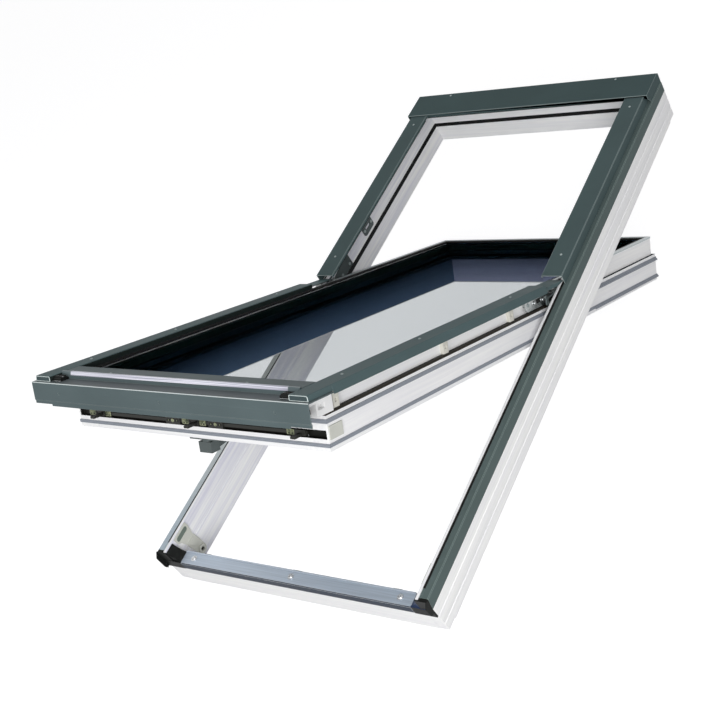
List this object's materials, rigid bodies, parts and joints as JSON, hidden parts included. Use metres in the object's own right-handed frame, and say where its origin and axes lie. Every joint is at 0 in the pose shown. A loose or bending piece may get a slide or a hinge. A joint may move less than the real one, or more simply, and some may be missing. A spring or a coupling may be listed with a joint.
{
  "type": "roof skylight",
  "caption": "Centre-pivot roof window: white frame with grey covers and a glazed sash that turns on curved-slot hinges, with handle and sliding lock bar.",
  "frame": {"origin": "centre of the frame's room-side plane, midway between the sill and the head", "axes": "+X across the window, +Y up the roof slope towards the head, +Z outward from the roof"},
  "size_m": [0.78, 1.616, 0.972],
  "materials": {
    "white_timber": "white lacquered pine, faint grain, satin",
    "grey_cover": "grey coated sheet aluminium, satin",
    "channel_metal": "dark grey-green coated extrusion, satin",
    "bright_alloy": "pale blue-grey aluminium, satin",
    "black_rubber": "matt black rubber",
    "grey_rubber": "soft grey rubber",
    "black_moulding": "black moulded plastic, matt",
    "steel": "bright pressed steel, zinc plated",
    "dark_steel": "dark grey coated steel",
    "beige_plate": "light grey-beige coated steel",
    "screw_steel": "zinc plated steel screws",
    "glass": "clear coated glass",
    "spacer": "dark spacer bar",
    "white_clip": "white moulded plastic",
    "handle_grey": "dark grey painted die casting"
  },
  "bodies": {
    "frame": {"frame_head": "white_timber", "frame_sill": "white_timber", "frame_jamb_left": "white_timber", "frame_jamb_right": "white_timber", "side_channel_left": "channel_metal", "side_channel_right": "channel_metal", "head_channel": "channel_metal", "head_cover": "grey_cover", "upper_cover_left": "grey_cover", "upper_cover_right": "grey_cover", "upper_seal": "black_rubber", "frame_seal": "black_rubber", "channel_strips": "black_rubber", "sill_flashing": "bright_alloy", "corner_plug_left": "black_moulding", "corner_plug_right": "black_moulding", "hinge_frame_left": "dark_steel", "hinge_frame_right": "dark_steel", "keeper_left": "beige_plate", "keeper_right": "beige_plate", "catch_plate_left": "dark_steel", "catch_plate_right": "dark_steel", "lock_strikes": "steel", "frame_screws": "screw_steel", "sill_screws": "screw_steel"},
    "sash": {"sash_top_rail": "white_timber", "sash_bottom_rail": "white_timber", "sash_stile_left": "white_timber", "sash_stile_right": "white_timber", "outer_pane": "glass", "middle_pane": "glass", "inner_pane": "glass", "outer_spacer": "spacer", "inner_spacer": "spacer", "edge_sealant": "black_rubber", "bedding_tape": "black_rubber", "glass_edge_seal": "black_rubber", "edge_strip": "bright_alloy", "sash_cover_left": "grey_cover", "sash_cover_right": "grey_cover", "sash_cover_bottom": "grey_cover", "cover_clips": "white_clip", "corner_blocks": "white_clip", "lip_seal_outer": "grey_rubber", "lip_seal_inner": "grey_rubber", "sash_gasket": "black_rubber", "hinge_sash_left": "steel", "hinge_sash_right": "steel", "rail_end_plates": "beige_plate", "sash_screws": "screw_steel", "handle_base": "handle_grey"},
    "handle": {"handle_lever": "handle_grey"},
    "lock_bar": {"lock_bar": "steel"}
  },
  "joints": [
    {"name": "sash_pivot", "type": "hinge", "parent": "frame", "child": "sash", "pos_m": [0, 0.086, 0.262], "axis": [-1, 0, 0], "range_deg": [-34.5, 15]},
    {"name": "handle_turn", "type": "hinge", "parent": "sash", "child": "handle", "pos_m": [0.014, -0.71542, 0.51187], "axis": [0, 0.5664, 0.8241], "range_deg": [0, 90]},
    {"name": "lock_bar_slide", "type": "slide", "parent": "sash", "child": "lock_bar", "axis": [1, 0, 0], "range_m": [-0.0225, 0]}
  ],
  "couplings": [
    {"joint": "lock_bar_slide", "follows": "handle_turn", "m_per_rad": -0.014}
  ]
}
